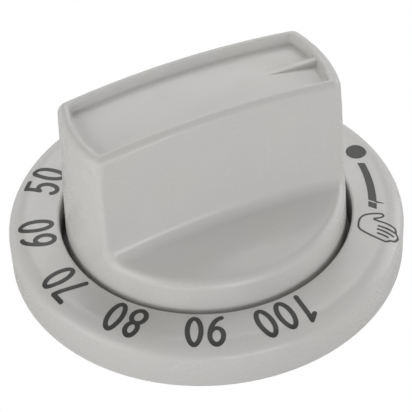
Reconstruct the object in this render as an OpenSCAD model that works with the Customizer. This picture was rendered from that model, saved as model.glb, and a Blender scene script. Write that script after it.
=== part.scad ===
// Timer knob of a cooker: a bar grip on a low domed base, standing in a dial ring.
// The ring is pressed against the panel by a coil spring, and turns with the grip.
// Origin: centre of the ring's underside. +Z: away from the panel. +X: the way the pointer shows.

/* [Dial ring] */
// Outer radius of the dial ring
dial_r = 30; // [28.5:0.5:34]
// Height of the dial ring
dial_h = 7.1; // [6.8:0.1:8]
// Radius of the hole that the grip's base stands in
hole_r = 22.2; // [21.9:0.1:23]
// Thickness of the ring's top
dial_top_t = 2.0; // [1.4:0.1:2.4]
// Thickness of the ring's outer wall
rim_t = 1.8; // [1.2:0.1:2.2]
// How far the rolled outer edge reaches inwards
roll_in = 3.4; // [2.6:0.1:4]
// How far the rolled outer edge reaches down
roll_down = 2.1; // [1.6:0.1:2.6]
// Thickness of the sleeve around the hole
sleeve_t = 1.6; // [1.2:0.1:1.8]
// Height of the sleeve's lower edge over the panel
sleeve_z = 0.6; // [0.3:0.1:0.8]
// Number of ribs between the sleeve and the outer wall
ring_ribs = 12; // [6:1:16]
// Thickness of those ribs
ring_rib_t = 1.1; // [0.8:0.1:1.4]

/* [Spring cup of the ring] */
// Width of each of the four arms that carry the cup
arm_w = 6; // [4:0.5:8]
// Thickness of the arms
arm_t = 1.6; // [1.2:0.1:1.9]
// Radius of the hole in the cup's floor
cup_hole_r = 6.4; // [6.1:0.1:6.6]
// Thickness of the cup's floor
cup_floor_t = 1.4; // [1.0:0.1:1.8]
// Thickness of the cup's wall
cup_wall_t = 1.2; // [0.9:0.1:1.4]
// Height of the cup's edge over the panel
cup_top_z = 5.0; // [4.8:0.1:5.4]
// Thickness of the two lips that the hooks hold
lip_t = 1.2; // [0.9:0.1:1.3]
// How far the lips stand out from the cup
lip_w = 1.2; // [0.9:0.1:1.4]
// Angle that each lip covers
lip_angle = 56; // [48:2:64]

/* [Grip and base] */
// Radius of the base's wall, level with the top of the ring
base_r = 21.3; // [20.8:0.1:21.5]
// Draft of the base's wall and of the grip's round ends
end_draft = 2.1; // [1:0.1:3]
// Radius of the dome on the base
crown_r = 110; // [95:5:130]
// Height of the dome's highest point
base_top = 13.7; // [13:0.1:15]
// Height of the grip over the dome
grip_h = 17.25; // [15:0.25:19]
// Width of the grip at its top
grip_w = 14.9; // [14.2:0.1:15.6]
// Draft of the grip's long sides
side_draft = 4.0; // [2.5:0.1:4.5]
// Radius of the rounded edges round the grip's top
grip_edge_r = 1.1; // [0.6:0.1:1.3]
// Radius of the fillet at the foot of the grip
foot_r = 1.8; // [1:0.1:2.4]
// Radius of the rounded edge round the base
rim_edge_r = 1.2; // [0.8:0.1:1.6]
// Thickness of the knob's walls
shell_t = 1.9; // [1.5:0.1:2.1]

/* [Top panel of the grip] */
// Depth of the sunk panel in the grip's top
panel_d = 1.5; // [1:0.1:1.8]
// Width of the rim beside the panel
panel_rim = 1.4; // [1.3:0.1:1.8]
// Width of the rim at the grip's ends
panel_end_rim = 1.65; // [1.5:0.05:2]
// Draft of the panel's edge
panel_draft = 8; // [4:1:12]
// Width of the pointer rib on the panel
pointer_w = 1.0; // [0.7:0.1:1.4]
// Distance of the pointer rib's inner tip from the middle
pointer_tip = 10.7; // [9:0.1:13]

/* [Spindle socket] */
// Radius of the round bore
bore_r = 3.05; // [2.9:0.05:3.2]
// Length of the split round bore at the mouth
bore_len = 6.0; // [5:0.5:7]
// Length of the flatted bore above it
key_len = 9.0; // [7:0.5:10]
// Distance of the bore's flat from the middle
flat_d = 1.65; // [1.4:0.05:2]
// Radius of the relief between the two bores
relief_r = 3.5; // [3.3:0.1:3.7]
// Height of the relief
relief_h = 1.0; // [0.8:0.1:1.4]
// Outer radius of the boss
boss_r = 5.0; // [4.8:0.1:5.2]
// Height of the boss's mouth over the panel
boss_z = 3.6; // [3:0.1:3.8]
// Width of the two slots that split the mouth
split_w = 1.2; // [0.8:0.1:1.6]
// Thickness of the boss's closed end over the bore
boss_cap = 2.4; // [1.5:0.1:3]
// Thickness of the ribs that carry the boss
boss_rib_t = 1.5; // [1.1:0.1:1.8]

/* [Clip band] */
// Thickness of the spring steel band
band_t = 0.6; // [0.4:0.1:0.7]
// Height of the band
band_h = 4.0; // [3:0.5:4.5]
// Height of the band's lower edge over the boss's mouth
band_rise = 0.8; // [0.5:0.1:1.2]
// Depth of its groove in the boss
band_groove = 0.3; // [0.2:0.05:0.4]
// Angle that the band's gap leaves open
band_gap = 50; // [30:5:80]

/* [Spring, hooks and travel] */
// How far the grip can be pushed in
travel = 2.0; // [1:0.1:2]
// Diameter of the spring's wire
wire_d = 0.9; // [0.7:0.1:1]
// Radius of the middle of the spring's wire
coil_r = 7.5; // [7.3:0.1:7.6]
// Number of turns with an open pitch
open_turns = 4; // [3:1:5]
// Width of each of the two hooks
hook_w = 7; // [5:0.5:8]
// Thickness of the hooks
hook_t = 1.4; // [1:0.1:1.6]
// How far the hooks reach under the lips
hook_reach = 0.8; // [0.5:0.1:0.9]
// Height of the hooks' noses
hook_h = 1.4; // [1:0.1:1.6]
// Number of ribs under the base
base_ribs = 8; // [8:8:16]
// Thickness of the ribs under the base
base_rib_t = 1.2; // [0.9:0.1:1.5]

/* [Fits] */
// Gap between parts that slide past each other
slide_gap = 0.3; // [0.2:0.05:0.4]
// Gap between the spring and the wall of its cup
spring_gap = 0.45; // [0.3:0.05:0.6]
// Gap between parts that only touch
touch_gap = 0.05; // [0.02:0.01:0.1]

/* [Hidden] */
$fn = 96;
// corners of a rounded edge's outline, outside and inside the shell
arc_n = 8;
arc_n_in = 3;
// overlap that fuses features of one moulding
fuse = 0.4;
// how far a rounded profile dips under the face that it runs into
dip = 0.03;
white = [0.93, 0.93, 0.91];
steel = [0.62, 0.64, 0.66];

crown_z = base_top - crown_r;
top_r = crown_r + grip_h;
sweep_a = 13;
wall_z = sleeve_z + travel + slide_gap;
lip_z = cup_top_z - lip_t;
cup_r = coil_r + wire_d / 2 + spring_gap;
cup_out_r = cup_r + cup_wall_t;
lip_r = cup_out_r + lip_w;
seat_low = sleeve_z + cup_floor_t;
seat_high = crown_z + sqrt(pow(crown_r - shell_t, 2) - pow(coil_r, 2));
hook_in = lip_r + slide_gap;
hook_top = lip_z - touch_gap;
notch_top = sleeve_z + arm_t + travel + slide_gap;
base_rib_z = notch_top + 1.5;
relief_z = boss_z + bore_len;
key_z = relief_z + relief_h;
key_top = key_z + key_len;
boss_top = key_top + boss_cap;
band_z = boss_z + band_rise;
panel_r = top_r - panel_d;

// Points of an arc, for the outlines below: centre, radii, first and last angle
function arc(c, a, b, from, to, n = arc_n) =
    [for (i = [0 : n]) let (t = from + (to - from) * i / n) [c[0] + a * cos(t), c[1] + b * sin(t)]];

// Radius of the base's wall and of the grip's ends at height z
function wall_r(z) = base_r - (z - dial_h) * tan(end_draft);

// Half the grip's width at distance r from the axis of its arched top
function half_w(r) = grip_w / 2 + (top_r - r) * tan(side_draft);

// Height of an arched surface of radius r at the distance x from the middle
function arch_z(r, x) = crown_z + sqrt(r * r - x * x);

// Sweeps an outline [distance from the arch's axis, place across the grip] along the grip
module along_grip(points) {
    translate([0, 0, crown_z])
        rotate([0, -90, -90])
            rotate([0, 0, -sweep_a])
                rotate_extrude(angle = 2 * sweep_a, $fn = 360) polygon(points);
}

// Both halves of an outline that is the same on either side of the middle
function both_sides(half) =
    concat(half, [for (i = [len(half) - 1 : -1 : 0]) [half[i][0], -half[i][1]]]);

// Grip, set in from its outer faces by inset and lowered by drop
module grip_form(inset = 0, drop = 0) {
    r_top = top_r - drop;
    c_r = r_top - grip_edge_r;
    c_w = half_w(c_r + grip_edge_r * sin(side_draft)) - (inset + grip_edge_r) / cos(side_draft)
        + grip_edge_r * (1 / cos(side_draft) - cos(side_draft));
    foot = crown_r - 7;
    n = inset == 0 ? arc_n : arc_n_in;
    edge = [for (p = arc([0, 0], grip_edge_r, grip_edge_r, 90, side_draft, n)) [c_r + p[1], c_w + p[0]]];
    along_grip(both_sides(concat(edge, [[foot, half_w(foot) - inset / cos(side_draft)]])));
}

// Fillet between the grip's long sides and the dome
module foot_fillet() {
    reach = crown_r + foot_r - dip;
    w_0 = half_w(crown_r + foot_r) + foot_r * cos(side_draft);
    r_0 = sqrt(reach * reach - w_0 * w_0);
    w_1 = half_w(r_0 - foot_r * sin(side_draft)) + foot_r * cos(side_draft);
    r_1 = sqrt(reach * reach - w_1 * w_1);
    down = 270 - asin(w_1 / reach);
    curve = [for (p = arc([0, 0], foot_r, foot_r, 180 + side_draft, down)) [r_1 + p[1], w_1 + p[0]]];
    last = curve[len(curve) - 1];
    under = crown_r - 3;
    along_grip(both_sides(concat([[curve[0][0], curve[0][1] - fuse]], curve, [[under, last[1]]])));
}

// Everything inside the drafted wall, with the round edge over the grip's ends
module wall_turn(inset = 0, edge_drop = 0) {
    end_z = arch_z(top_r - edge_drop, wall_r(arch_z(top_r, base_r)) - inset);
    slope = 20;
    c_z = end_z - grip_edge_r * cos(slope / 2);
    c_x = wall_r(c_z) - (inset + grip_edge_r) / cos(end_draft);
    n = inset == 0 ? arc_n : arc_n_in;
    edge = arc([c_x, c_z], grip_edge_r, grip_edge_r, end_draft, 90 - slope, n);
    last = edge[len(edge) - 1];
    rotate_extrude()
        polygon(concat(
            [[0, -1], [wall_r(-1) - inset / cos(end_draft), -1]],
            edge,
            [[0, last[1] + last[0] * tan(slope)]]));
}

// Base under the dome, with the round edge
module base_form(inset = 0) {
    dome = crown_r - inset;
    side = inset / cos(end_draft);
    edge_z = arch_z(dome, wall_r(base_top) - side);
    slope = asin(base_r / crown_r);
    c_z = edge_z - rim_edge_r * 0.85;
    c_x = wall_r(c_z) - side - rim_edge_r / cos(end_draft);
    n = inset == 0 ? arc_n : arc_n_in;
    intersection() {
        translate([0, 0, crown_z]) sphere(r = dome, $fn = 360);
        rotate_extrude()
            polygon(concat(
                [[0, -1], [wall_r(-1) - side, -1]],
                arc([c_x, c_z], rim_edge_r, rim_edge_r, end_draft, 90 - slope * 1.6, n),
                [[0, base_top + 3]]));
    }
}

// Whole outside of the knob, or a smaller copy of it that bounds the hollow and the ribs
module knob_form(inset = 0, drop = 0) {
    intersection() {
        wall_turn(inset, drop);
        union() {
            grip_form(inset, drop);
            base_form(inset);
            if (inset == 0) foot_fillet();
        }
    }
}

// Sunk panel in the grip's top
module panel_cut() {
    lean = tan(panel_draft);
    w_top = half_w(top_r) - panel_rim;
    end_r = wall_r(arch_z(top_r, base_r)) - panel_end_rim;
    floor_z = arch_z(panel_r, end_r);
    intersection() {
        along_grip(both_sides([[top_r + 1, w_top + lean], [panel_r, w_top - panel_d * lean]]));
        translate([0, 0, floor_z - panel_d])
            cylinder(h = 4 * panel_d, r1 = end_r - 2 * panel_d * lean, r2 = end_r + 2 * panel_d * lean);
    }
}

// Pointer rib: its top is level, so it grows out of the arched panel towards the rim
module pointer() {
    rib_top = arch_z(panel_r, pointer_tip);
    rib_end = wall_r(rib_top) - panel_end_rim + fuse;
    intersection() {
        translate([pointer_tip - 1, -pointer_w / 2, rib_top - 2.2])
            cube([rib_end - pointer_tip + 1, pointer_w, 2.2]);
        knob_form(shell_t / 2);
    }
}

// Boss with its ribs, the ribs under the base and the two hooks
module inner_features() {
    translate([0, 0, boss_z]) cylinder(h = boss_top - boss_z, r = boss_r);
    intersection() {
        knob_form(shell_t / 2, panel_d + shell_t / 2);
        union() {
            translate([-base_r, -boss_rib_t / 2, seat_high]) cube([2 * base_r, boss_rib_t, grip_h]);
            translate([-boss_rib_t / 2, -half_w(crown_r), seat_high])
                cube([boss_rib_t, 2 * half_w(crown_r), grip_h]);
            for (i = [0 : base_ribs - 1])
                rotate([0, 0, (i + 0.5) * 360 / base_ribs])
                    translate([hook_in + hook_t + 1, -base_rib_t / 2, base_rib_z])
                        cube([base_r, base_rib_t, base_top - base_rib_z]);
            for (side = [0, 180]) rotate([0, 0, side]) hook();
        }
    }
}

// Hook that runs under a lip of the ring's cup
module hook() {
    nose = hook_in - slide_gap - hook_reach;
    rotate([90, 0, 90])
        translate([0, 0, -hook_w / 2])
            linear_extrude(height = hook_w)
                polygon([
                    [hook_in, base_top], [hook_in, hook_top], [nose, hook_top],
                    [nose, hook_top - hook_h / 3], [hook_in, hook_top - hook_h],
                    [hook_in + hook_t, hook_top - hook_h], [hook_in + hook_t, base_top]]);
}

// Bore for the spindle: round and split at the mouth, with a flat further in
module socket_cut() {
    translate([0, 0, boss_z - 1]) cylinder(h = bore_len + 1 + relief_h / 2, r = bore_r);
    translate([0, 0, relief_z]) cylinder(h = relief_h, r = relief_r);
    intersection() {
        translate([0, 0, relief_z + relief_h / 2]) cylinder(h = key_len + relief_h / 2, r = bore_r);
        translate([-2 * bore_r, -flat_d, relief_z]) cube([4 * bore_r, 2 * bore_r + flat_d, 2 * key_len]);
    }
    translate([-2 * boss_r, -split_w / 2, boss_z - 1])
        cube([4 * boss_r, split_w, bore_len + 1 + relief_h / 2]);
    translate([0, 0, band_z - touch_gap]) difference() {
        cylinder(h = band_h + 2 * touch_gap, r = boss_r + 1);
        translate([0, 0, -1]) cylinder(h = band_h + 2, r = boss_r - band_groove);
    }
}

module knob_body() {
    color(white) {
        difference() {
            union() {
                difference() {
                    knob_form();
                    panel_cut();
                    knob_form(shell_t, panel_d + shell_t);
                }
                inner_features();
            }
            socket_cut();
            // open underside, cut level at the wall's lower edge
            translate([0, 0, -5]) difference() {
                cylinder(h = 5 + wall_z, r = dial_r);
                cylinder(h = 5 + wall_z + 1, r = base_r - shell_t - 1);
            }
            // notches that ride on the ring's arms
            for (a = [45 : 90 : 315])
                rotate([0, 0, a])
                    translate([base_r - shell_t - 3, -arm_w / 2 - slide_gap, -1])
                        cube([shell_t + 6, arm_w + 2 * slide_gap, notch_top + 1]);
        }
        pointer();
    }
}

module dial_ring() {
    in_r = dial_r - rim_t;
    plate_z = dial_h - dial_top_t;
    lead = 0.4;
    color(white) {
        rotate_extrude(convexity = 6)
            polygon(concat(
                [[hole_r, sleeve_z]],
                arc([hole_r + lead, dial_h - lead], lead, lead, 180, 90, 4),
                arc([dial_r - roll_in, dial_h - roll_down], roll_in, roll_down, 90, 0, 12),
                [[dial_r, lead], [dial_r - lead, 0], [in_r, 0]],
                arc([dial_r - roll_in, plate_z - roll_down / 2], roll_in - rim_t, roll_down / 2, 0, 90),
                [[hole_r + sleeve_t, plate_z], [hole_r + sleeve_t, sleeve_z]]));
        for (i = [0 : ring_ribs - 1])
            rotate([0, 0, (i + 0.5) * 360 / ring_ribs])
                translate([hole_r + sleeve_t - fuse, -ring_rib_t / 2, 2 * sleeve_z])
                    cube([in_r - hole_r - sleeve_t + 2 * fuse, ring_rib_t, plate_z - 2 * sleeve_z + fuse]);
        for (a = [45 : 90 : 315])
            rotate([0, 0, a])
                translate([cup_r + fuse, -arm_w / 2, sleeve_z])
                    cube([hole_r - cup_r, arm_w, arm_t]);
        rotate_extrude()
            polygon([
                [cup_hole_r, sleeve_z], [cup_out_r, sleeve_z], [cup_out_r, cup_top_z],
                [cup_r, cup_top_z], [cup_r, seat_low], [cup_hole_r, seat_low]]);
        for (side = [0, 180])
            rotate([0, 0, 90 - lip_angle / 2 + side])
                rotate_extrude(angle = lip_angle)
                    translate([cup_out_r - fuse, lip_z]) square([lip_w + fuse, lip_t]);
    }
}

// Coil spring with closed ends, swept as rings of points along its helix
module return_spring() {
    sides = 8;
    steps = 18;
    dead = 1;
    turns = open_turns + 2 * dead;
    low = seat_low + wire_d / 2 + touch_gap;
    high = seat_high - wire_d / 2 - touch_gap;
    closed = wire_d + 0.06;
    pitch = (high - low - 2 * dead * closed) / open_turns;
    function rise(t) = min(t, dead) * closed + max(0, min(t - dead, open_turns)) * pitch
        + max(0, t - dead - open_turns) * closed;
    rings = [for (i = [0 : turns * steps]) let (t = i / steps)
        [for (k = [0 : sides - 1]) let (a = 360 * k / sides, r = coil_r + wire_d / 2 * cos(a))
            [r * cos(360 * t), r * sin(360 * t), low + rise(t) + wire_d / 2 * sin(a)]]];
    count = len(rings);
    points = [for (ring = rings, p = ring) p];
    walls = [for (i = [0 : count - 2], k = [0 : sides - 1])
        let (a = i * sides + k, b = i * sides + (k + 1) % sides)
            each [[a, b, b + sides], [a, b + sides, a + sides]]];
    ends = [[for (k = [sides - 1 : -1 : 0]) k], [for (k = [0 : sides - 1]) (count - 1) * sides + k]];
    color(steel) polyhedron(points, concat(walls, ends), convexity = 12);
}

// Open band of spring steel that closes the split mouth of the boss on the spindle
module shaft_clip() {
    color(steel)
        translate([0, 0, band_z])
            rotate([0, 0, 90 + band_gap / 2])
                rotate_extrude(angle = 360 - band_gap)
                    translate([boss_r - band_groove + touch_gap, 0]) square([band_t, band_h]);
}

dial_ring();
knob_body();
return_spring();
shaft_clip();
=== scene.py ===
import math

import bmesh
import bpy
import numpy as np
from mathutils import Matrix, Vector


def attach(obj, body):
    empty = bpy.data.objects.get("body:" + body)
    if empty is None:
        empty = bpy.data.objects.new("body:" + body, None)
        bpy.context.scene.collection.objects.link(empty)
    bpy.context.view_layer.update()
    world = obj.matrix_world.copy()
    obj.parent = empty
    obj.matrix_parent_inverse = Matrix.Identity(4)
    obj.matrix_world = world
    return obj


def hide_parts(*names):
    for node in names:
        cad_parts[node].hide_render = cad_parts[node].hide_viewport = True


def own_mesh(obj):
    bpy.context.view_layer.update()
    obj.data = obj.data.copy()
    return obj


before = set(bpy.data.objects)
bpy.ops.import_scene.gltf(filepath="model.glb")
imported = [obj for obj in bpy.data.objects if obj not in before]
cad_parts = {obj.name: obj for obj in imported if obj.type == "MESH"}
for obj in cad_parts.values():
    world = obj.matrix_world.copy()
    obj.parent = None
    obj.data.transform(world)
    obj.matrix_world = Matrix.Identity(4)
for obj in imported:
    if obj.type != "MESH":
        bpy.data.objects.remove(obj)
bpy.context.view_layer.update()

# Sizes are in millimetres in the row's frame, and MM turns them into metres.
MM = 0.001

# Dial ring
DIAL_R = 30.0
DIAL_H = 7.1
HOLE_R = 22.2
RIM_T = 1.8
ROLL_IN = 3.4
ROLL_DOWN = 2.1
HOLE_EDGE_R = 0.4
FOOT_EDGE_R = 0.4
RING_SEAM_IN = 3.0
RING_SEAM_OUT = 0.6
RING_TURNS = 288

# Grip and base
BASE_R = 21.3
END_DRAFT = math.radians(2.1)
CROWN_R = 110.0
BASE_TOP = 13.7
CROWN_Z = BASE_TOP - CROWN_R
TOP_R = CROWN_R + 17.25
GRIP_W = 14.9
SIDE_DRAFT = math.radians(4.0)
TOP_EDGE_R = 1.1
CORNER_R = 0.5
FOOT_R = 1.8
RIM_EDGE_R = 1.2
KNOB_SEAM = 4.6

# Sunk panel and its pointer rib
PANEL_D = 1.5
PANEL_R = TOP_R - PANEL_D
PANEL_RIM = 1.4
PANEL_END_RIM = 1.65
PANEL_DRAFT = math.radians(8.0)
PANEL_CORNER_R = 0.5
PANEL_FLOOR_R = 0.35
PANEL_EDGE_R = 0.3
POINTER_W = 1.0
POINTER_TIP = 10.7

# Return spring
SPRING_WIRE = 0.9
SPRING_R = 7.5
OPEN_TURNS = 4
CLOSE_GAP = 0.06

# Print on the ring. A place is a turn in degrees from +X and a radius.
INK_T = 0.03
NUMBER_R = 25.7
NUMBER_START = 6.8
NUMBER_STEP = 2.65
DIGIT_HALF_W = 0.98
DIGIT_HALF_H = 2.43
DIGIT_PITCH = 3.2
DIGIT_STROKE = 0.73
DOT = (1.9, 26.3, 1.6)
BAND_INNER = (-3.5, 25.26, -26.5, 24.63)
BAND_OUTER = (-4.6, 26.28, -27.9, 25.88)
BAND_GAP = (0.855, 0.885)
TICK = ((-24.4, 25.9), (-25.2, 27.0))
HAND_PLACE = (-35.1, 23.69, -48.0)
HAND_STROKE = 0.3
HAND_OUTLINE = (
    (-0.55, 1.62), (2.1, 3.0), (2.75, 2.6), (2.5, 2.05), (1.0, 1.25), (4.9, 1.15), (5.3, 0.7), (5.45, 0.14),
    (6.05, -0.3), (5.95, -0.95), (5.85, -1.5), (5.25, -1.8), (4.95, -2.3), (4.4, -2.55), (0.55, -1.62),
    (-0.25, -0.79),
)
FINGER_LINES = (
    ((3.1, -1.27), (4.73, -1.4)),
    ((2.81, -0.45), (5.35, -0.7)),
    ((2.7, 0.25), (5.3, 0.14)),
)


def arch_z(r, x):
    """Height of the arched surface at distance r from the crown's axis."""
    return CROWN_Z + np.sqrt(r * r - x * x)


def wall_r(z):
    """Radius of the base's wall, which is also the wall of the grip's ends."""
    return BASE_R - (z - DIAL_H) * math.tan(END_DRAFT)


def half_width(r):
    """Half the grip's width at distance r from the crown's axis."""
    return GRIP_W / 2 + (TOP_R - r) * math.tan(SIDE_DRAFT)


def round_and(a, b, r):
    """Distance to what lies in both a and b, with the edge between them rounded."""
    return np.minimum(np.maximum(a, b), -r) + np.hypot(np.maximum(a + r, 0), np.maximum(b + r, 0))


def fillet_or(a, b, r):
    """Distance to what lies in a or b, with a fillet between them."""
    return np.maximum(np.minimum(a, b), r) - np.hypot(np.maximum(r - a, 0), np.maximum(r - b, 0))


def smooth_step(x, low, high):
    t = np.clip((x - low) / (high - low), 0, 1)
    return t * t * (3 - 2 * t)


END_TOP_Z = arch_z(TOP_R, BASE_R)
PANEL_END = wall_r(END_TOP_Z) - PANEL_END_RIM
PANEL_END_Z = arch_z(PANEL_R, PANEL_END) + PANEL_D


def knob_field(p):
    """Distance from points to the outside of the knob, negative inside it."""
    x, y, z = p[:, 0], p[:, 1], p[:, 2]
    r = np.hypot(x, z - CROWN_Z)
    turned = np.hypot(x, y)
    top = r - TOP_R
    side = (np.abs(y) - half_width(r)) * math.cos(SIDE_DRAFT)
    dome = np.sqrt(x * x + y * y + (z - CROWN_Z) ** 2) - CROWN_R
    wall = (turned - wall_r(z)) * math.cos(END_DRAFT)
    grip = round_and(top, side, TOP_EDGE_R)
    body = fillet_or(grip, dome, FOOT_R)
    high = smooth_step(top, -4.5, -1.0)
    low = 1 - smooth_step(dome, 0.3, 3.5)
    edge_r = CORNER_R + (TOP_EDGE_R - CORNER_R) * high + (RIM_EDGE_R - CORNER_R) * low
    body = round_and(body, wall, edge_r)
    panel_side = np.abs(y) - (GRIP_W / 2 - PANEL_RIM - (TOP_R - r) * math.tan(PANEL_DRAFT))
    panel_end = turned - (PANEL_END + (z - PANEL_END_Z) * math.tan(PANEL_DRAFT))
    panel = round_and(panel_side, panel_end, PANEL_CORNER_R)
    panel = round_and(panel, PANEL_R - r, PANEL_FLOOR_R)
    return round_and(body, -panel, PANEL_EDGE_R)


def field_slope(field, p, step=0.01):
    """The field's value and its gradient at each point."""
    slope = np.empty_like(p)
    for axis in range(3):
        shift = np.zeros(3)
        shift[axis] = step
        slope[:, axis] = (field(p + shift) - field(p - shift)) / (2 * step)
    return field(p), slope


def settle(field, p, rounds=12):
    """Moves points along the field's gradient until they lie on its surface."""
    for _ in range(rounds):
        value, slope = field_slope(field, p)
        move = slope * (value / np.maximum((slope ** 2).sum(1), 1e-6))[:, None]
        length = np.linalg.norm(move, axis=1)[:, None]
        p = p - move * np.minimum(1, 0.6 / np.maximum(length, 1e-9))
    return p


def graded(count, pull):
    """Places from -1 to 1 that crowd towards both ends."""
    s = np.linspace(-1, 1, count + 1)
    return np.tanh(pull * s) / math.tanh(pull)


def arc_steps(count):
    """Angles from 0 to 90 degrees, without the first."""
    return [math.pi / 2 * i / count for i in range(1, count + 1)]


class KnobSkin:
    """The knob's outside as loops of points round the grip, settled on knob_field.

    A loop has one point for each station: along the +Y side, round the -X end, along the -Y side
    and round the +X end. Each level below places a loop, from the panel's floor to the base's wall.
    """

    SIDE_STEPS = 96
    END_STEPS = 32

    def __init__(self):
        self.along = graded(self.SIDE_STEPS, 1.8)[::-1]
        self.across = graded(self.END_STEPS, 1.5)
        self.loops = []

    def outline(self, half, end_r):
        """The loop's horizontal outline, for half the grip's width and the radius of its ends."""
        corner_x = math.sqrt(end_r ** 2 - half ** 2)
        corner_a = math.asin(half / end_r)
        side = [(s * corner_x, half) for s in self.along[:-1]]
        end = [(-end_r * math.cos(v * corner_a), -end_r * math.sin(v * corner_a)) for v in self.across[:-1]]
        half_loop = np.array(side + end)
        return np.concatenate([half_loop, -half_loop])

    def level(self, inset, end_inset, depth):
        """A loop over or on the grip, inset from its outline and down from its arched top."""
        r = TOP_R - depth
        half = half_width(r) - inset
        end_r = wall_r(END_TOP_Z - depth) - end_inset
        flat = self.outline(half, end_r)
        self.loops.append(np.column_stack([flat, arch_z(r, flat[:, 0])]))

    def top_levels(self):
        """From the panel's floor up over its edge and down the grip's walls."""
        slope = math.tan(PANEL_DRAFT) * PANEL_D
        foot_in = PANEL_RIM + slope + PANEL_FLOOR_R
        foot_end = PANEL_END_RIM + slope + PANEL_FLOOR_R
        self.level(foot_in + 0.1, foot_end + 0.1, PANEL_D)
        self.level(foot_in, foot_end, PANEL_D)
        for a in arc_steps(4):
            out = PANEL_FLOOR_R * math.sin(a)
            self.level(foot_in - out, foot_end - out, PANEL_D - PANEL_FLOOR_R * (1 - math.cos(a)))
        for depth in (0.9, 0.6):
            lean = math.tan(PANEL_DRAFT) * depth
            self.level(PANEL_RIM + lean, PANEL_END_RIM + lean, depth)
        for a in [0] + arc_steps(5):
            out = PANEL_EDGE_R * (1 - math.cos(a))
            self.level(PANEL_RIM - out, PANEL_END_RIM - out, PANEL_EDGE_R * (1 - math.sin(a)))
        for a in [0] + arc_steps(10):
            inset = TOP_EDGE_R * (1 - math.sin(a))
            self.level(inset, inset, TOP_EDGE_R * (1 - math.cos(a)))
        last = TOP_R - CROWN_R - FOOT_R - 0.3
        for share in np.linspace(0, 1, 17)[1:]:
            self.level(0, 0, TOP_EDGE_R + (last - TOP_EDGE_R) * share)

    def foot_levels(self):
        """Over the fillet and the dome to the rim, then down the base's wall. The ends go straight down."""
        start = self.outline(half_width(CROWN_R + FOOT_R), wall_r(BASE_TOP))
        rim_r = wall_r(arch_z(CROWN_R, BASE_R))
        corner_a = math.atan2(abs(start[0, 1]), abs(start[0, 0]))
        spread = math.pi / 2 - corner_a
        side_a = [math.pi / 2 - s * spread for s in self.along[:-1]]
        end_a = [math.pi + v * corner_a for v in self.across[:-1]]
        turn = np.array(side_a + end_a)
        turn = np.concatenate([turn, turn + math.pi])
        goal = rim_r * np.column_stack([np.cos(turn), np.sin(turn)])
        way = goal - start
        way[self.SIDE_STEPS:self.SIDE_STEPS + self.END_STEPS] = 0
        way[2 * self.SIDE_STEPS + self.END_STEPS:] = 0
        length = np.hypot(way[:, 0], way[:, 1])
        unit = way / np.maximum(length, 1e-9)[:, None]
        narrow = np.clip(1 - length / 3, 0, 1)
        dome_end = arch_z(CROWN_R, BASE_R)
        room = np.minimum(1, np.maximum(length - 0.4, 0) / FOOT_R)
        for a in arc_steps(9):
            flat = start + unit * (FOOT_R * (1 - math.cos(a)) * room)[:, None]
            z = self.dome_z(flat) + FOOT_R * (1 - math.sin(a))
            self.loops.append(np.column_stack([flat, z]))
        inner = FOOT_R * room
        outer = np.maximum(length - RIM_EDGE_R, inner + 0.02)
        drop = 0.7
        for share in (graded(16, 1.3)[1:] + 1) / 2:
            flat = start + unit * (inner + (outer - inner) * share)[:, None]
            z = self.dome_z(flat) - drop * share * narrow
            self.loops.append(np.column_stack([flat, z]))
        for a in arc_steps(9):
            radius = rim_r - RIM_EDGE_R * (1 - math.sin(a))
            z = dome_end - drop * narrow - RIM_EDGE_R * (1 - math.cos(a))
            self.loops.append(np.column_stack([radius * np.cos(turn), radius * np.sin(turn), z]))
        low = dome_end - drop - RIM_EDGE_R
        for z in np.linspace(low, KNOB_SEAM + 0.1, 8)[1:]:
            flat = wall_r(z) * np.column_stack([np.cos(turn), np.sin(turn)])
            self.loops.append(np.column_stack([flat, np.full(len(flat), z)]))

    @staticmethod
    def dome_z(flat):
        return CROWN_Z + np.sqrt(CROWN_R ** 2 - (flat ** 2).sum(1))

    def floor_grid(self):
        """Rows of points that fill the first loop, across the panel's floor."""
        half = self.loops[0][0, 1]
        end_r = np.hypot(*self.loops[0][0, :2])
        corner_a = math.asin(half / end_r)
        rows = []
        for v in self.across[1:-1]:
            y = end_r * math.sin(v * corner_a)
            x = self.along * math.sqrt(end_r ** 2 - y * y)
            rows.append(np.column_stack([x, np.full(len(x), y), arch_z(PANEL_R, x)]))
        return rows

    def build(self):
        """Points, faces and the last loop of the skin."""
        self.top_levels()
        self.foot_levels()
        count = len(self.loops[0])
        wide, deep = self.SIDE_STEPS, self.END_STEPS
        faces = []
        for k in range(len(self.loops) - 1):
            for j in range(count):
                n = (j + 1) % count
                faces.append((k * count + j, (k + 1) * count + j, (k + 1) * count + n, k * count + n))
        base = len(self.loops) * count
        grid = np.empty((deep + 1, wide + 1), int)
        grid[deep] = np.arange(wide + 1)
        grid[0] = (np.arange(wide + 1)[::-1] + wide + deep) % count
        for row in range(1, deep):
            grid[row, 1:wide] = base + (row - 1) * (wide + 1) + np.arange(1, wide)
            grid[row, wide] = wide + deep - row
            grid[row, 0] = (2 * wide + deep + row) % count
        for row in range(deep):
            for col in range(wide):
                faces.append((grid[row, col], grid[row + 1, col], grid[row + 1, col + 1], grid[row, col + 1]))
        points = np.concatenate(self.loops + self.floor_grid())
        points = settle(knob_field, points)
        last = list(range((len(self.loops) - 1) * count, len(self.loops) * count))
        return points, faces, [last]


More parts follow.
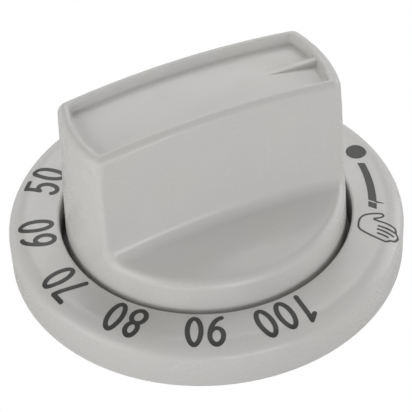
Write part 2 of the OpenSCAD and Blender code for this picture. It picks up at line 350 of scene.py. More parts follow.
def ring_profile():
    """The ring's outside from the hole's seam over the rolled edge to the seam inside its wall."""
    flat_z = DIAL_H
    roll_x = DIAL_R - ROLL_IN
    roll_z = DIAL_H - ROLL_DOWN
    in_r = DIAL_R - RIM_T
    support = 0.06
    points = [(HOLE_R, z) for z in np.linspace(RING_SEAM_IN + 0.1, DIAL_H - HOLE_EDGE_R - support, 5)]
    points += [(HOLE_R + HOLE_EDGE_R * (1 - math.cos(a)), DIAL_H - HOLE_EDGE_R * (1 - math.sin(a)))
               for a in [0] + arc_steps(6)]
    inner = HOLE_R + HOLE_EDGE_R + support
    points += [(x, flat_z) for x in np.linspace(inner, roll_x - support, 8)]
    points += [(roll_x + ROLL_IN * math.sin(a), roll_z + ROLL_DOWN * math.cos(a)) for a in [0] + arc_steps(28)]
    points += [(DIAL_R, z) for z in np.linspace(roll_z - support, FOOT_EDGE_R + support, 6)]
    points += [(DIAL_R - FOOT_EDGE_R * (1 - math.cos(a)), FOOT_EDGE_R * (1 - math.sin(a)))
               for a in [0] + arc_steps(5)]
    points += [(in_r + support, 0), (in_r, support), (in_r, RING_SEAM_OUT - 0.1)]
    return points


def ring_top(r):
    """Height of the ring's top and rolled edge at radius r."""
    out = np.clip((r - (DIAL_R - ROLL_IN)) / ROLL_IN, 0, 1)
    return DIAL_H - ROLL_DOWN * (1 - np.sqrt(1 - out * out))


# Short calls for node trees


def add(tree, kind, settings=None, inputs=None):
    """Adds a node. An input that is a socket is linked, and any other is set."""
    made = tree.nodes.new(kind)
    for key, value in (settings or {}).items():
        setattr(made, key, value)
    for key, value in (inputs or {}).items():
        if isinstance(value, bpy.types.NodeSocket):
            tree.links.new(value, made.inputs[key])
        else:
            made.inputs[key].default_value = value
    return made


def calc(tree, operation, a, b=0.0, c=0.0, clamp=False):
    """A Math node's result."""
    made = add(tree, "ShaderNodeMath", {"operation": operation, "use_clamp": clamp}, {0: a, 1: b})
    if operation == "MULTIPLY_ADD":
        if isinstance(c, bpy.types.NodeSocket):
            tree.links.new(c, made.inputs[2])
        else:
            made.inputs[2].default_value = c
    return made.outputs[0]


def new_tree(name, kind, inputs, outputs):
    """An empty node group with named sockets. Gives the tree, its input sockets and its output node."""
    tree = bpy.data.node_groups.new(name, kind)
    for title, socket, value in inputs:
        made = tree.interface.new_socket(title, in_out="INPUT", socket_type=socket)
        if value is not None:
            made.default_value = value
    for title, socket in outputs:
        tree.interface.new_socket(title, in_out="OUTPUT", socket_type=socket)
    return tree, tree.nodes.new("NodeGroupInput").outputs, tree.nodes.new("NodeGroupOutput")


FLOAT = "NodeSocketFloat"
INT = "NodeSocketInt"
GEOMETRY = "NodeSocketGeometry"
MATERIAL = "NodeSocketMaterial"


def apply_tree(obj, tree, values):
    """Runs a geometry tree on an object and gives the resulting plain mesh in a new object."""
    modifier = obj.modifiers.new(tree.name, "NODES")
    modifier.node_group = tree
    for item in tree.interface.items_tree:
        if item.in_out == "INPUT" and item.name in values:
            modifier[item.identifier] = values[item.name]
    bpy.context.view_layer.update()
    graph = bpy.context.evaluated_depsgraph_get()
    mesh = bpy.data.meshes.new_from_object(obj.evaluated_get(graph))
    obj.modifiers.remove(modifier)
    return mesh


def link_object(name, mesh):
    obj = bpy.data.objects.new(name, mesh)
    bpy.context.scene.collection.objects.link(obj)
    return obj


def plain_mesh(name, points, edges=(), faces=()):
    """A mesh from points in millimetres."""
    mesh = bpy.data.meshes.new(name)
    mesh.from_pydata([Vector(p) * MM for p in points], list(edges), [list(map(int, f)) for f in faces])
    mesh.update()
    return mesh


def drop(obj):
    bpy.data.objects.remove(obj, do_unlink=True)


def revolve_tree():
    """Turns a profile, drawn as points in the XZ plane, round the Z axis on a grid of faces."""
    tree, given, out = new_tree(
        "revolved moulding",
        "GeometryNodeTree",
        [("Profile", GEOMETRY, None), ("Steps round", INT, 96), ("Profile points", INT, 2),
         ("Material", MATERIAL, None)],
        [("Moulding", GEOMETRY)],
    )
    rows = calc(tree, "SUBTRACT", given["Profile points"], 1.0)
    columns = calc(tree, "ADD", given["Steps round"], 1.0)
    grid = add(tree, "GeometryNodeMeshGrid", {}, {
        "Size X": given["Steps round"], "Size Y": rows,
        "Vertices X": columns, "Vertices Y": given["Profile points"],
    })
    place = add(tree, "ShaderNodeSeparateXYZ", {}, {0: add(tree, "GeometryNodeInputPosition").outputs[0]})
    column = calc(tree, "MULTIPLY_ADD", given["Steps round"], 0.5, place.outputs["X"])
    row = calc(tree, "ROUND", calc(tree, "MULTIPLY_ADD", rows, 0.5, place.outputs["Y"]))
    angle = calc(tree, "DIVIDE", calc(tree, "MULTIPLY", column, 2 * math.pi), given["Steps round"])
    point = add(tree, "GeometryNodeSampleIndex", {"data_type": "FLOAT_VECTOR", "domain": "POINT"}, {
        "Geometry": given["Profile"], "Value": add(tree, "GeometryNodeInputPosition").outputs[0], "Index": row,
    })
    turned = add(tree, "ShaderNodeVectorRotate", {"rotation_type": "Z_AXIS"}, {
        "Vector": point.outputs[0], "Angle": angle,
    })
    placed = add(tree, "GeometryNodeSetPosition", {}, {
        "Geometry": grid.outputs["Mesh"], "Position": turned.outputs[0],
    })
    closed = add(tree, "GeometryNodeMergeByDistance", {}, {"Geometry": placed.outputs[0], "Distance": 1e-6})
    end_tree(tree, closed.outputs[0], given["Material"], out)
    return tree


def end_tree(tree, geometry, material, out):
    """Ends a geometry tree with real geometry and its material."""
    real = add(tree, "GeometryNodeRealizeInstances", {}, {"Geometry": geometry})
    dressed = add(tree, "GeometryNodeSetMaterial", {}, {"Geometry": real.outputs[0], "Material": material})
    tree.links.new(dressed.outputs[0], out.inputs[0])


def coil_tree():
    """A wire wound round the Z axis, with one turn at each end that lies close."""
    tree, given, out = new_tree(
        "wound coil",
        "GeometryNodeTree",
        [("Wire", GEOMETRY, None), ("Open turns", FLOAT, 4.0), ("Steps in a turn", INT, 48),
         ("Wire radius", FLOAT, 0.00045), ("Coil radius", FLOAT, 0.0075), ("Low", FLOAT, 0.0),
         ("Open pitch", FLOAT, 0.002), ("Close pitch", FLOAT, 0.001), ("Material", MATERIAL, None)],
        [("Coil", GEOMETRY)],
    )
    turns = calc(tree, "ADD", given["Open turns"], 2.0)
    count = calc(tree, "ADD", calc(tree, "MULTIPLY", turns, given["Steps in a turn"]), 1.0)
    wire = add(tree, "GeometryNodeMeshLine", {}, {"Count": count})
    turn = calc(tree, "DIVIDE", add(tree, "GeometryNodeInputIndex").outputs[0], given["Steps in a turn"])
    past_first = calc(tree, "MAXIMUM", calc(tree, "SUBTRACT", turn, 1.0), 0.0)
    first = calc(tree, "MINIMUM", turn, 1.0)
    middle = calc(tree, "MINIMUM", past_first, given["Open turns"])
    last = calc(tree, "SUBTRACT", past_first, middle)
    height = calc(tree, "MULTIPLY_ADD", calc(tree, "ADD", first, last), given["Close pitch"], given["Low"])
    height = calc(tree, "MULTIPLY_ADD", middle, given["Open pitch"], height)
    angle = calc(tree, "MULTIPLY", turn, 2 * math.pi)
    place = add(tree, "ShaderNodeCombineXYZ", {}, {
        "X": calc(tree, "MULTIPLY", calc(tree, "COSINE", angle), given["Coil radius"]),
        "Y": calc(tree, "MULTIPLY", calc(tree, "SINE", angle), given["Coil radius"]),
        "Z": height,
    })
    wound = add(tree, "GeometryNodeSetPosition", {}, {"Geometry": wire.outputs[0], "Position": place.outputs[0]})
    curve = add(tree, "GeometryNodeMeshToCurve", {}, {"Mesh": wound.outputs[0]})
    section = add(tree, "GeometryNodeCurvePrimitiveCircle", {}, {"Resolution": 16, "Radius": given["Wire radius"]})
    swept = add(tree, "GeometryNodeCurveToMesh", {}, {
        "Curve": curve.outputs[0], "Profile Curve": section.outputs[0], "Fill Caps": True,
    })
    end_tree(tree, swept.outputs[0], given["Material"], out)
    return tree


def coil_spring():
    """The return spring between its cup and the knob, wound to the height of the CAD spring."""
    heights = [v.co.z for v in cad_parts["return_spring"].data.vertices]
    low, high = min(heights), max(heights)
    close_pitch = (SPRING_WIRE + CLOSE_GAP) * MM
    open_pitch = (high - low - SPRING_WIRE * MM - 2 * close_pitch) / OPEN_TURNS
    holder = link_object("coil_start", plain_mesh("coil_start", [(0, 0, 0)]))
    mesh = apply_tree(holder, coil_tree(), {
        "Open turns": float(OPEN_TURNS), "Wire radius": SPRING_WIRE / 2 * MM, "Coil radius": SPRING_R * MM,
        "Low": low + SPRING_WIRE / 2 * MM, "Open pitch": open_pitch, "Close pitch": close_pitch,
        "Material": wire_steel,
    })
    drop(holder)
    points = [v.co / MM for v in mesh.vertices]
    coil = closed_piece("coil_spring", points, [tuple(p.vertices) for p in mesh.polygons])
    dress(coil, wire_steel)
    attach(coil, "dial")
    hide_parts("return_spring")
    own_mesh(coil)


def ring_skin():
    """Points, faces and open loops of the ring's outside."""
    profile = ring_profile()
    chain = plain_mesh("ring_profile", [(x, 0, z) for x, z in profile])
    holder = link_object("ring_profile", chain)
    mesh = apply_tree(holder, revolve_tree(), {
        "Steps round": RING_TURNS, "Profile points": len(profile), "Material": ring_white,
    })
    drop(holder)
    points = np.array([v.co for v in mesh.vertices]) / MM
    faces = [tuple(p.vertices) for p in mesh.polygons]
    radius = np.hypot(points[:, 0], points[:, 1])
    loops = []
    for r, z in (profile[0], profile[-1]):
        near = np.where((abs(radius - r) < 0.01) & (abs(points[:, 2] - z) < 0.01))[0]
        loops.append(list(near))
    return points, faces, loops


def by_turn(loop):
    """Vertices of a loop in the order of their angle round the Z axis."""
    return sorted(loop, key=lambda v: math.atan2(v.co.y, v.co.x))


def zip_loops(bm, low, high):
    """Closes the strip between two loops round the Z axis with triangles."""
    low, high = by_turn(low), by_turn(high)
    turn = [[math.atan2(v.co.y, v.co.x) for v in loop] for loop in (low, high)]
    i = j = 0
    made = []
    while i < len(low) or j < len(high):
        next_low = turn[0][(i + 1) % len(low)] + (2 * math.pi if i + 1 >= len(low) else 0)
        next_high = turn[1][(j + 1) % len(high)] + (2 * math.pi if j + 1 >= len(high) else 0)
        a, b = low[i % len(low)], high[j % len(high)]
        if j >= len(high) or (i < len(low) and next_low <= next_high):
            made.append(bm.faces.new((a, low[(i + 1) % len(low)], b)))
            i += 1
        else:
            made.append(bm.faces.new((a, high[(j + 1) % len(high)], b)))
            j += 1
    return made


def reskin(node, name, skin, seams):
    """A copy of a CAD node with its outside, between level seams, exchanged for a finer skin.

    Each seam is (height, least radius, largest radius) of a circle on the outside. The faces that
    hang together with the highest one, without crossing a seam, are the old outside.
    """
    bm = bmesh.new()
    bm.from_mesh(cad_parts[node].data)
    mark = bm.verts.layers.int.new("skin")
    bmesh.ops.remove_doubles(bm, verts=bm.verts, dist=1e-7)
    seam_loops = []
    barred = set()
    for z, low_r, high_r in seams:
        cut = bmesh.ops.bisect_plane(
            bm, geom=bm.verts[:] + bm.edges[:] + bm.faces[:], dist=1e-8,
            plane_co=(0, 0, z * MM), plane_no=(0, 0, 1))
        on_seam = {v for v in cut["geom_cut"] if isinstance(v, bmesh.types.BMVert)
                   and low_r * MM < v.co.xy.length < high_r * MM}
        seam_loops.append(on_seam)
        barred |= {e for v in on_seam for e in v.link_edges if e.other_vert(v) in on_seam
                   and abs(e.other_vert(v).co.z - z * MM) < 1e-7}
    first = max(bm.faces, key=lambda f: f.calc_center_median().z)
    outside, ahead = {first}, [first]
    while ahead:
        for edge in ahead.pop().edges:
            if edge not in barred:
                fresh = [f for f in edge.link_faces if f not in outside]
                outside.update(fresh)
                ahead += fresh
    bmesh.ops.delete(bm, geom=list(outside), context="FACES")
    for face in bm.faces:
        face.smooth = True
    points, faces, loops = skin
    verts = [bm.verts.new(Vector(p) * MM) for p in points]
    for v in verts:
        v[mark] = 1
    for face in faces:
        corners = [verts[i] for i in face]
        if len(set(corners)) == len(corners):
            bm.faces.new(corners).smooth = True
    for seam, loop in zip(seam_loops, loops):
        for face in zip_loops(bm, [v for v in seam if v.is_valid], [verts[i] for i in loop]):
            face.smooth = True
    bmesh.ops.delete(bm, geom=[v for v in bm.verts if not v.link_faces], context="VERTS")
    bmesh.ops.recalc_face_normals(bm, faces=bm.faces)
    for edge in bm.edges:
        both_skin = edge.verts[0][mark] and edge.verts[1][mark]
        if not both_skin and len(edge.link_faces) == 2 and edge.calc_face_angle() > math.radians(28):
            edge.smooth = False
    mesh = bpy.data.meshes.new(name)
    bm.to_mesh(mesh)
    open_edges = sum(len(e.link_faces) != 2 for e in bm.edges)
    print(name, "volume", bm.calc_volume() / MM ** 3, "open edges", open_edges, "faces", len(bm.faces))
    bm.free()
    return link_object(name, mesh)


def exact_normals(obj, field):
    """Gives the skin's points the field's own normals, and stores how sharply each place is rounded."""
    mesh = obj.data
    marks = np.zeros(len(mesh.vertices), np.int32)
    mesh.attributes["skin"].data.foreach_get("value", marks)
    points = np.array([v.co for v in mesh.vertices]) / MM
    skin = marks > 0
    value, slope = field_slope(field, points[skin], 0.003)
    normals = np.zeros((len(points), 3))
    normals[skin] = slope / np.linalg.norm(slope, axis=1)[:, None]
    mesh.normals_split_custom_set_from_vertices([tuple(n) for n in normals])
    step = 0.12
    bend = -6 * field(points[skin])
    for axis in range(3):
        shift = np.zeros(3)
        shift[axis] = step
        bend += field(points[skin] + shift) + field(points[skin] - shift)
    worn = np.zeros(len(points), np.float32)
    worn[skin] = np.clip(bend / step ** 2, 0, 1)
    mesh.attributes.new("rounding", "FLOAT", "POINT").data.foreach_set("value", worn)


# Materials


def scratch_group():
    """Thin hairline scratches that run in changing directions."""
    tree, given, out = new_tree(
        "hairline scratches",
        "ShaderNodeTree",
        [("Vector", "NodeSocketVector", None), ("Spacing", FLOAT, 300.0), ("Share", FLOAT, 0.3)],
        [("Mask", FLOAT)],
    )
    bend = add(tree, "ShaderNodeTexNoise", {}, {"Vector": given["Vector"], "Scale": 60.0, "Detail": 2.0})
    shift = add(tree, "ShaderNodeVectorMath", {"operation": "SCALE"}, {0: bend.outputs["Color"], "Scale": 0.012})
    bent = add(tree, "ShaderNodeVectorMath", {"operation": "ADD"}, {0: given["Vector"], 1: shift.outputs[0]})
    masks = []
    for angle in (0.5, 1.9):
        turned = add(tree, "ShaderNodeMapping", {}, {
            "Vector": bent.outputs[0], "Rotation": (0.3, 0.2, angle), "Scale": (1.0, 14.0, 3.0),
        })
        cell = add(tree, "ShaderNodeTexVoronoi", {"feature": "DISTANCE_TO_EDGE"}, {
            "Vector": turned.outputs[0], "Scale": given["Spacing"],
        })
        thin = calc(tree, "SUBTRACT", 1.0, calc(tree, "MULTIPLY", cell.outputs["Distance"], 26.0), clamp=True)
        masks.append(thin)
    where = add(tree, "ShaderNodeTexNoise", {}, {"Vector": given["Vector"], "Scale": 170.0, "Detail": 3.0})
    limit = calc(tree, "SUBTRACT", 1.0, given["Share"])
    above = calc(tree, "SUBTRACT", where.outputs["Fac"], calc(tree, "MULTIPLY", limit, 0.62))
    gate = calc(tree, "MULTIPLY", above, 9.0, clamp=True)
    mask = calc(tree, "MULTIPLY", calc(tree, "MAXIMUM", masks[0], masks[1]), gate, clamp=True)
    tree.links.new(mask, out.inputs["Mask"])
    return tree


def grain_group():
    """Fine unevenness of a moulded face: a height, and slow changes of tone."""
    tree, given, out = new_tree(
        "moulded grain",
        "ShaderNodeTree",
        [("Vector", "NodeSocketVector", None), ("Fine scale", FLOAT, 900.0), ("Wave scale", FLOAT, 90.0)],
        [("Height", FLOAT), ("Tone", FLOAT)],
    )
    fine = add(tree, "ShaderNodeTexNoise", {}, {
        "Vector": given["Vector"], "Scale": given["Fine scale"], "Detail": 3.0, "Roughness": 0.6,
    })
    wave = add(tree, "ShaderNodeTexNoise", {}, {
        "Vector": given["Vector"], "Scale": given["Wave scale"], "Detail": 2.0, "Roughness": 0.5,
    })
    height = calc(tree, "MULTIPLY_ADD", wave.outputs["Fac"], 2.5, fine.outputs["Fac"])
    tree.links.new(height, out.inputs["Height"])
    tree.links.new(wave.outputs["Fac"], out.inputs["Tone"])
    return tree


def new_material(name):
    material = bpy.data.materials.new(name)
    material.use_nodes = True
    tree = material.node_tree
    tree.nodes.clear()
    shader = add(tree, "ShaderNodeBsdfPrincipled")
    add(tree, "ShaderNodeOutputMaterial", {}, {"Surface": shader.outputs[0]})
    return material, tree, shader


def white_plastic(name, colour, groups, roughness, scratch_share):
    """Glossy white moulded plastic with slow tone changes, hairline scratches and duller worn edges."""
    material, tree, shader = new_material(name)
    place = add(tree, "ShaderNodeTexCoord").outputs["Object"]
    grain = add(tree, "ShaderNodeGroup", {"node_tree": groups["grain"]}, {"Vector": place})
    scratch = add(tree, "ShaderNodeGroup", {"node_tree": groups["scratch"]}, {
        "Vector": place, "Share": scratch_share,
    })
    worn = add(tree, "ShaderNodeAttribute", {"attribute_name": "rounding"}).outputs["Fac"]
    edge = calc(tree, "MULTIPLY", worn, grain.outputs["Tone"], clamp=True)
    tone = add(tree, "ShaderNodeMapRange", {}, {
        "Value": grain.outputs["Tone"], "From Min": 0.3, "From Max": 0.7, "To Min": 0.0, "To Max": 1.0,
    })
    warm = tuple(c * f for c, f in zip(colour, (1.0, 0.99, 0.97)))
    cool = tuple(c * f for c, f in zip(colour, (0.975, 0.975, 0.985)))
    base = add(tree, "ShaderNodeMix", {"data_type": "RGBA"}, {
        "Factor": tone.outputs[0], 6: (*cool, 1.0), 7: (*warm, 1.0),
    })
    dirt = tuple(c * 0.86 for c in colour)
    soiled = add(tree, "ShaderNodeMix", {"data_type": "RGBA"}, {
        "Factor": calc(tree, "MULTIPLY", scratch.outputs["Mask"], 0.35), 6: base.outputs[2], 7: (*dirt, 1.0),
    })
    tree.links.new(soiled.outputs[2], shader.inputs["Base Color"])
    rough = calc(tree, "MULTIPLY_ADD", grain.outputs["Tone"], 0.08, roughness)
    rough = calc(tree, "MULTIPLY_ADD", scratch.outputs["Mask"], 0.25, rough)
    rough = calc(tree, "MULTIPLY_ADD", edge, 0.12, rough)
    tree.links.new(rough, shader.inputs["Roughness"])
    height = calc(tree, "MULTIPLY_ADD", scratch.outputs["Mask"], -2.0, grain.outputs["Height"])
    bump = add(tree, "ShaderNodeBump", {}, {"Strength": 0.05, "Distance": 0.0002, "Height": height})
    tree.links.new(bump.outputs[0], shader.inputs["Normal"])
    shader.inputs["IOR"].default_value = 1.5
    return material


def print_ink(name, groups):
    """Dark grey pad printing, slightly uneven, with a satin surface."""
    material, tree, shader = new_material(name)
    place = add(tree, "ShaderNodeTexCoord").outputs["Object"]
    grain = add(tree, "ShaderNodeGroup", {"node_tree": groups["grain"]}, {
        "Vector": place, "Fine scale": 2500.0, "Wave scale": 500.0,
    })
    base = add(tree, "ShaderNodeMix", {"data_type": "RGBA"}, {
        "Factor": grain.outputs["Tone"], 6: (0.052, 0.053, 0.052, 1.0), 7: (0.075, 0.076, 0.074, 1.0),
    })
    tree.links.new(base.outputs[2], shader.inputs["Base Color"])
    rough = calc(tree, "MULTIPLY_ADD", grain.outputs["Tone"], 0.15, 0.38)
    tree.links.new(rough, shader.inputs["Roughness"])
    bump = add(tree, "ShaderNodeBump", {}, {"Strength": 0.1, "Distance": 0.00005, "Height": grain.outputs["Height"]})
    tree.links.new(bump.outputs[0], shader.inputs["Normal"])
    return material


def spring_steel(name, groups, colour, roughness):
    """Bright drawn steel with fine streaks and darker patches."""
    material, tree, shader = new_material(name)
    place = add(tree, "ShaderNodeTexCoord").outputs["Object"]
    grain = add(tree, "ShaderNodeGroup", {"node_tree": groups["grain"]}, {
        "Vector": place, "Fine scale": 3000.0, "Wave scale": 350.0,
    })
    dark = tuple(c * 0.7 for c in colour)
    base = add(tree, "ShaderNodeMix", {"data_type": "RGBA"}, {
        "Factor": grain.outputs["Tone"], 6: (*dark, 1.0), 7: (*colour, 1.0),
    })
    tree.links.new(base.outputs[2], shader.inputs["Base Color"])
    rough = calc(tree, "MULTIPLY_ADD", grain.outputs["Tone"], 0.25, roughness)
    tree.links.new(rough, shader.inputs["Roughness"])
    shader.inputs["Metallic"].default_value = 1.0
    bump = add(tree, "ShaderNodeBump", {}, {"Strength": 0.15, "Distance": 0.00005, "Height": grain.outputs["Height"]})
    tree.links.new(bump.outputs[0], shader.inputs["Normal"])
    return material


def dress(obj, material):
    obj.data.materials.clear()
    obj.data.materials.append(material)


GROUPS = {"grain": grain_group(), "scratch": scratch_group()}
PLASTIC = (0.74, 0.735, 0.725)
knob_white = white_plastic("glossy white knob plastic", PLASTIC, GROUPS, 0.16, 0.25)
ring_white = white_plastic("glossy white ring plastic", PLASTIC, GROUPS, 0.2, 0.4)
ink = print_ink("dark grey pad print", GROUPS)
wire_steel = spring_steel("drawn spring wire", GROUPS, (0.55, 0.55, 0.54), 0.22)
strip_steel = spring_steel("rolled spring strip", GROUPS, (0.45, 0.46, 0.48), 0.28)


# Knob and ring

ring = reskin("dial_ring", "ring_moulding", ring_skin(), [
    (RING_SEAM_IN, HOLE_R - 0.3, HOLE_R + 0.3),
    (RING_SEAM_OUT, DIAL_R - RIM_T - 0.3, DIAL_R - RIM_T + 0.3),
])
dress(ring, ring_white)
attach(ring, "dial")
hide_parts("dial_ring")

knob = reskin("knob_body", "knob_moulding", KnobSkin().build(), [
    (KNOB_SEAM, wall_r(KNOB_SEAM) - 0.5, wall_r(KNOB_SEAM) + 0.5),
])
exact_normals(knob, knob_field)
dress(knob, knob_white)
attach(knob, "knob")
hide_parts("knob_body")

dress(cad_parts["shaft_clip"], strip_steel)


def pointer_rib():
    """The panel's pointer: a rib with a level top that rises out of the falling floor."""
    top = arch_z(PANEL_R, POINTER_TIP)
    half = POINTER_W / 2
    edge = 0.15
    turns = [math.pi / 2 * i / 4 for i in range(5)]
    right = [(half - edge + edge * math.cos(a), top - edge + edge * math.sin(a)) for a in turns]
    arc = right + [(-y, z) for y, z in reversed(right)]
    rows = np.linspace(POINTER_TIP - 0.4, PANEL_END + 0.05, 24)
    points = []
    for x in rows:
        low = min(arch_z(PANEL_R, x), top) - 0.4
        points += [(x, y, z) for y, z in arc] + [(x, -half, low), (x, half, low)]
    count = len(arc) + 2
    faces = [(k * count + j, k * count + (j + 1) % count, (k + 1) * count + (j + 1) % count, (k + 1) * count + j)
             for k in range(len(rows) - 1) for j in range(count)]
    faces += [tuple(range(count)), tuple(range((len(rows) - 1) * count, len(rows) * count))]
    rib = closed_piece("pointer_rib", points, faces)
    dress(rib, knob_white)
    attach(rib, "knob")


def closed_piece(name, points, faces):
    """A closed mesh with its faces outwards, smooth but for its sharp edges."""
    mesh = plain_mesh(name, points, (), faces)
    bm = bmesh.new()
    bm.from_mesh(mesh)
    bmesh.ops.recalc_face_normals(bm, faces=bm.faces)
    for face in bm.faces:
        face.smooth = True
    for edge in bm.edges:
        if edge.calc_face_angle(0) > math.radians(35):
            edge.smooth = False
    bm.to_mesh(mesh)
    print(name, "open edges", sum(len(e.link_faces) != 2 for e in bm.edges), "volume", bm.calc_volume() / MM ** 3)
    bm.free()
    return link_object(name, mesh)


# Print on the ring


def straight(a, b, step=0.35):
    """Points from a to b."""
    a, b = np.array(a, float), np.array(b, float)
    count = max(2, int(np.linalg.norm(b - a) / step) + 1)
    return a + (b - a) * np.linspace(0, 1, count)[:, None]


def bow(x, y, rx, ry, start, end, steps=22):
    """Points on an ellipse's arc between two angles in degrees."""
    turn = np.radians(np.linspace(start, end, steps + 1))
    return np.column_stack([x + rx * np.cos(turn), y + ry * np.sin(turn)])


def digit_lines(digit):
    """Middle lines of a digit's strokes, round the digit's centre."""
    w, h = DIGIT_HALF_W, DIGIT_HALF_H
    six = [bow(0, -0.4 * h, w, 0.6 * h, 0, 360), bow(0.88 * w, -0.4 * h, 1.88 * w, 1.4 * h, 178, 96)]
    lines = {
        "0": [bow(0, 0, w, h, 0, 360)],
        "1": [straight((0.27 * w, -h), (0.27 * w, h)), straight((0.27 * w, h), (-0.6 * w, 0.66 * h))],
        "2": [bow(0, 0.47 * h, 0.95 * w, 0.53 * h, 160, -40), straight((0.73 * w, 0.13 * h), (-w, -h)),
              straight((-w, -h), (w, -h))],
        "3": [bow(-0.08 * w, 0.51 * h, 0.9 * w, 0.49 * h, 150, -90),
              bow(-0.11 * w, -0.49 * h, 1.03 * w, 0.51 * h, 90, -150)],
        "4": [straight((0.46 * w, -h), (0.46 * w, h)), straight((0.46 * w, h), (-1.1 * w, -0.38 * h)),
              straight((-1.1 * w, -0.38 * h), (1.1 * w, -0.38 * h))],
        "5": [straight((0.85 * w, h), (-0.75 * w, h)), straight((-0.75 * w, h), (-0.84 * w, 0.06 * h)),
              bow(-0.1 * w, -0.38 * h, 1.05 * w, 0.62 * h, 135, -145)],
        "6": six,
        "7": [straight((-w, h), (w, h)), straight((w, h), (-0.4 * w, -h))],
        "8": [bow(0, 0.51 * h, 0.85 * w, 0.49 * h, 0, 360), bow(0, -0.49 * h, 1.03 * w, 0.51 * h, 0, 360)],
        "9": [-line for line in six],
    }
    return lines[digit]


def stroke_rows(line, width, end_width=None):
    """Rows of points across a stroke along a middle line, with round ends unless the line is closed."""
    line = np.asarray(line, float)
    closed = np.linalg.norm(line[0] - line[-1]) < 1e-6
    if closed:
        line = line[:-1]
        way = np.roll(line, -1, axis=0) - np.roll(line, 1, axis=0)
    else:
        way = np.gradient(line, axis=0)
    way /= np.linalg.norm(way, axis=1)[:, None]
    reach = np.linspace(width, end_width or width, len(line)) / 2
    if not closed:
        caps = np.radians((80, 55, 28))
        start = [line[0] - way[0] * reach[0] * math.sin(a) for a in caps]
        end = [line[-1] + way[-1] * reach[-1] * math.sin(a) for a in caps[::-1]]
        cap_reach = np.cos(caps)
        line = np.concatenate([start, line, end])
        way = np.concatenate([[way[0]] * 3, way, [way[-1]] * 3])
        reach = np.concatenate([reach[0] * cap_reach, reach, reach[-1] * cap_reach[::-1]])
    side = np.column_stack([-way[:, 1], way[:, 0]])
    share = np.linspace(-1, 1, 5)
    return line[:, None, :] + side[:, None, :] * (reach[:, None] * share)[:, :, None], closed


def rounded(points, rounds=2):
    """A closed outline with its corners cut off again and again."""
    points = np.array(points, float)
    for _ in range(rounds):
        following = np.roll(points, -1, axis=0)
        pairs = np.stack([points * 0.75 + following * 0.25, points * 0.25 + following * 0.75], axis=1)
        points = pairs.reshape(-1, 2)
    return np.concatenate([points, points[:1]])


def place_on_ring(rows, turn, radius, up=0.0):
    """Puts local points at a place on the ring, where up is the angle from outwards to their +Y."""
    a = math.radians(turn)
    b = a + math.radians(up)
    centre = radius * np.array([math.cos(a), math.sin(a)])
    local_y = np.array([math.cos(b), math.sin(b)])
    local_x = np.array([local_y[1], -local_y[0]])
    return centre + rows[..., :1] * local_x + rows[..., 1:] * local_y


def ink_piece(name, patches):
    """Thin closed slabs of ink over the ring's top. A patch is a grid of plan points and whether it closes."""
    points, faces = [], []
    for number, (grid, closed) in enumerate(patches):
        deep, wide = grid.shape[:2]
        first = len(points)
        flat = grid.reshape(-1, 2)
        z = ring_top(np.hypot(flat[:, 0], flat[:, 1]))
        lift = INK_T + 0.002 * (number % 4)
        points += [(x, y, h + lift) for (x, y), h in zip(flat, z)]
        points += [(x, y, h - INK_T) for (x, y), h in zip(flat, z)]
        under = deep * wide
        steps = deep if closed else deep - 1
        for i in range(steps):
            a, b = first + i * wide, first + (i + 1) % deep * wide
            for j in range(wide - 1):
                quad = (a + j, b + j, b + j + 1, a + j + 1)
                faces += [quad, tuple(k + under for k in reversed(quad))]
            faces += [(a, a + under, b + under, b),
                      (b + wide - 1, b + wide - 1 + under, a + wide - 1 + under, a + wide - 1)]
        if not closed:
            for row in (first, first + (deep - 1) * wide):
                faces += [(row + j, row + j + 1, row + j + 1 + under, row + j + under) for j in range(wide - 1)]
    piece = closed_piece(name, points, faces)
    dress(piece, ink)
    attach(piece, "dial")


def print_numbers():
    """The scale from 10 to 100, with the digits' tops outwards."""
    for value in range(10, 101, 10):
        text = str(value)
        patches = []
        for place, digit in enumerate(text):
            shift = (place - (len(text) - 1) / 2) * DIGIT_PITCH
            for line in digit_lines(digit):
                rows, closed = stroke_rows(line + np.array([shift, 0]), DIGIT_STROKE)
                patches.append((place_on_ring(rows, NUMBER_START + NUMBER_STEP * value, NUMBER_R), closed))
        ink_piece("number_" + text, patches)


def print_dot():
    turn, radius, size = DOT
    rings = np.linspace(0.05, size, 6)
    circle = bow(0, 0, 1, 1, 0, 360, 48)[:-1]
    rows = circle[:, None, :] * rings[None, :, None]
    ink_piece("dot", [(place_on_ring(rows, turn, radius), True)])


def print_band():
    """The band beside the dot, with a light gap near its end and a short tick."""
    def stretch(low, high):
        share = np.linspace(low, high, max(3, int(40 * (high - low))))[:, None]
        across = np.linspace(0, 1, 5)[None, :]
        inner, outer = BAND_INNER, BAND_OUTER
        turn = [edge[0] + (edge[2] - edge[0]) * share for edge in (inner, outer)]
        radius = [edge[1] + (edge[3] - edge[1]) * share for edge in (inner, outer)]
        a = np.radians(turn[0] + (turn[1] - turn[0]) * across)
        r = radius[0] + (radius[1] - radius[0]) * across
        return np.stack([r * np.cos(a), r * np.sin(a)], axis=2), False
    ends = [r * np.array([math.cos(math.radians(a)), math.sin(math.radians(a))]) for a, r in TICK]
    tick = stroke_rows(straight(*ends), 0.34, 0.08)
    ink_piece("time_band", [stretch(0, BAND_GAP[0]), stretch(BAND_GAP[1], 1), tick])


def print_hand():
    """A plain outline of an open hand, with three lines between its fingers."""
    strokes = [rounded(HAND_OUTLINE)] + [straight(a, b) for a, b in FINGER_LINES]
    patches = []
    turn, radius, heading = HAND_PLACE
    for line in strokes:
        rows, closed = stroke_rows(np.column_stack([-line[:, 1], line[:, 0]]), HAND_STROKE)
        patches.append((place_on_ring(rows, turn, radius, heading - turn), closed))
    ink_piece("hand_sign", patches)


coil_spring()
pointer_rib()
print_numbers()
print_dot()
print_band()
print_hand()


# Floor, light and camera


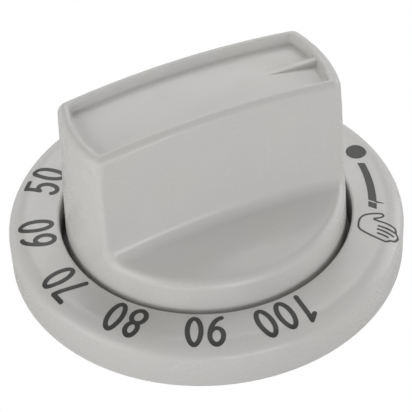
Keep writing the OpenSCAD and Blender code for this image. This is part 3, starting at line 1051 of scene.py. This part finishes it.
def white_floor():
    """A pale floor that the camera sees as pure white, but for what lies under the part."""
    material = bpy.data.materials.new("white floor")
    material.use_nodes = True
    tree = material.node_tree
    tree.nodes.clear()
    path = add(tree, "ShaderNodeLightPath")
    matt = add(tree, "ShaderNodeBsdfDiffuse", {}, {"Color": (0.8, 0.8, 0.8, 1.0)})
    glow = add(tree, "ShaderNodeEmission", {}, {"Color": (1.0, 1.0, 1.0, 1.0), "Strength": 1.0})
    place = add(tree, "ShaderNodeTexCoord").outputs["Object"]
    distance = add(tree, "ShaderNodeVectorMath", {"operation": "LENGTH"}, {0: place}).outputs["Value"]
    outside = calc(tree, "GREATER_THAN", distance, (DIAL_R - 0.5) * MM)
    seen = calc(tree, "MULTIPLY", path.outputs["Is Camera Ray"], outside)
    both = add(tree, "ShaderNodeMixShader", {}, {0: seen, 1: matt.outputs[0], 2: glow.outputs[0]})
    add(tree, "ShaderNodeOutputMaterial", {}, {"Surface": both.outputs[0]})
    size = 1500
    corners = [(-size, -size, 0), (size, -size, 0), (size, size, 0), (-size, size, 0)]
    floor = link_object("floor", plain_mesh("floor", corners, (), [(0, 1, 2, 3)]))
    floor.data.transform(Matrix.Translation((0, 0, -0.02 * MM)))
    dress(floor, material)


def studio_world():
    """Soft light from all round, dimmer overhead, with a white background for the camera."""
    world = bpy.data.worlds.new("studio")
    bpy.context.scene.world = world
    world.use_nodes = True
    tree = world.node_tree
    tree.nodes.clear()
    direction = add(tree, "ShaderNodeTexCoord").outputs["Generated"]
    height = add(tree, "ShaderNodeSeparateXYZ", {}, {0: direction}).outputs["Z"]
    ramp = add(tree, "ShaderNodeValToRGB", {}, {"Fac": height})
    stops = [(0.0, 1.0), (0.2, 0.68), (0.5, 0.16), (1.0, 0.16)]
    while len(ramp.color_ramp.elements) < len(stops):
        ramp.color_ramp.elements.new(0.5)
    for stop, (place, level) in zip(ramp.color_ramp.elements, stops):
        stop.position = place
        stop.color = (level, level, level, 1.0)
    path = add(tree, "ShaderNodeLightPath")
    shade = add(tree, "ShaderNodeMix", {"data_type": "RGBA"}, {
        "Factor": path.outputs["Is Camera Ray"], 6: ramp.outputs["Color"], 7: (1.0, 1.0, 1.0, 1.0),
    })
    background = add(tree, "ShaderNodeBackground", {}, {"Color": shade.outputs[2], "Strength": 1.0})
    add(tree, "ShaderNodeOutputWorld", {}, {"Surface": background.outputs[0]})


def soft_lamp(name, azimuth, elevation, distance, size, power, colour=(1.0, 1.0, 1.0)):
    """A square area lamp that faces the part from a direction seen from above."""
    data = bpy.data.lights.new(name, "AREA")
    data.size = size
    data.energy = power
    data.color = colour
    lamp = bpy.data.objects.new(name, data)
    bpy.context.scene.collection.objects.link(lamp)
    a, e = math.radians(azimuth), math.radians(elevation)
    way = Vector((math.cos(a) * math.cos(e), math.sin(a) * math.cos(e), math.sin(e)))
    lamp.location = way * distance
    lamp.rotation_euler = way.to_track_quat("Z", "Y").to_euler()


def photo_camera(azimuth=-22.671, elevation=43.851, distance=0.28803, aim=(1.517, 3.354, 3.978), roll=-2.996,
                 lens=163.15):
    """The camera at the photograph's place. The azimuth is the way it looks, from +Y towards -X."""
    data = bpy.data.cameras.new("photo_camera")
    data.sensor_width = 36.0
    data.lens = lens
    data.clip_start = 0.01
    camera = bpy.data.objects.new("photo_camera", data)
    bpy.context.scene.collection.objects.link(camera)
    a, e = math.radians(azimuth), math.radians(elevation)
    camera.location = Vector((math.sin(a) * math.cos(e), -math.cos(a) * math.cos(e), math.sin(e))) * distance
    look = (Vector(aim) * MM - camera.location).to_track_quat("-Z", "Y").to_matrix()
    turned = look @ Matrix.Rotation(math.radians(roll), 3, "Z")
    camera.rotation_euler = turned.to_euler()
    bpy.context.scene.camera = camera


white_floor()
studio_world()
soft_lamp("left_window", 185, 22, 0.9, 0.7, 2.5, (1.0, 0.985, 0.95))
soft_lamp("right_fill", 5, 22, 0.9, 0.6, 1.9)
soft_lamp("back_window", 67, 46, 0.9, 0.6, 2.3)
soft_lamp("front_fill", 268, 10, 0.9, 0.5, 1.9)
photo_camera()
bpy.context.scene.view_settings.view_transform = "Standard"
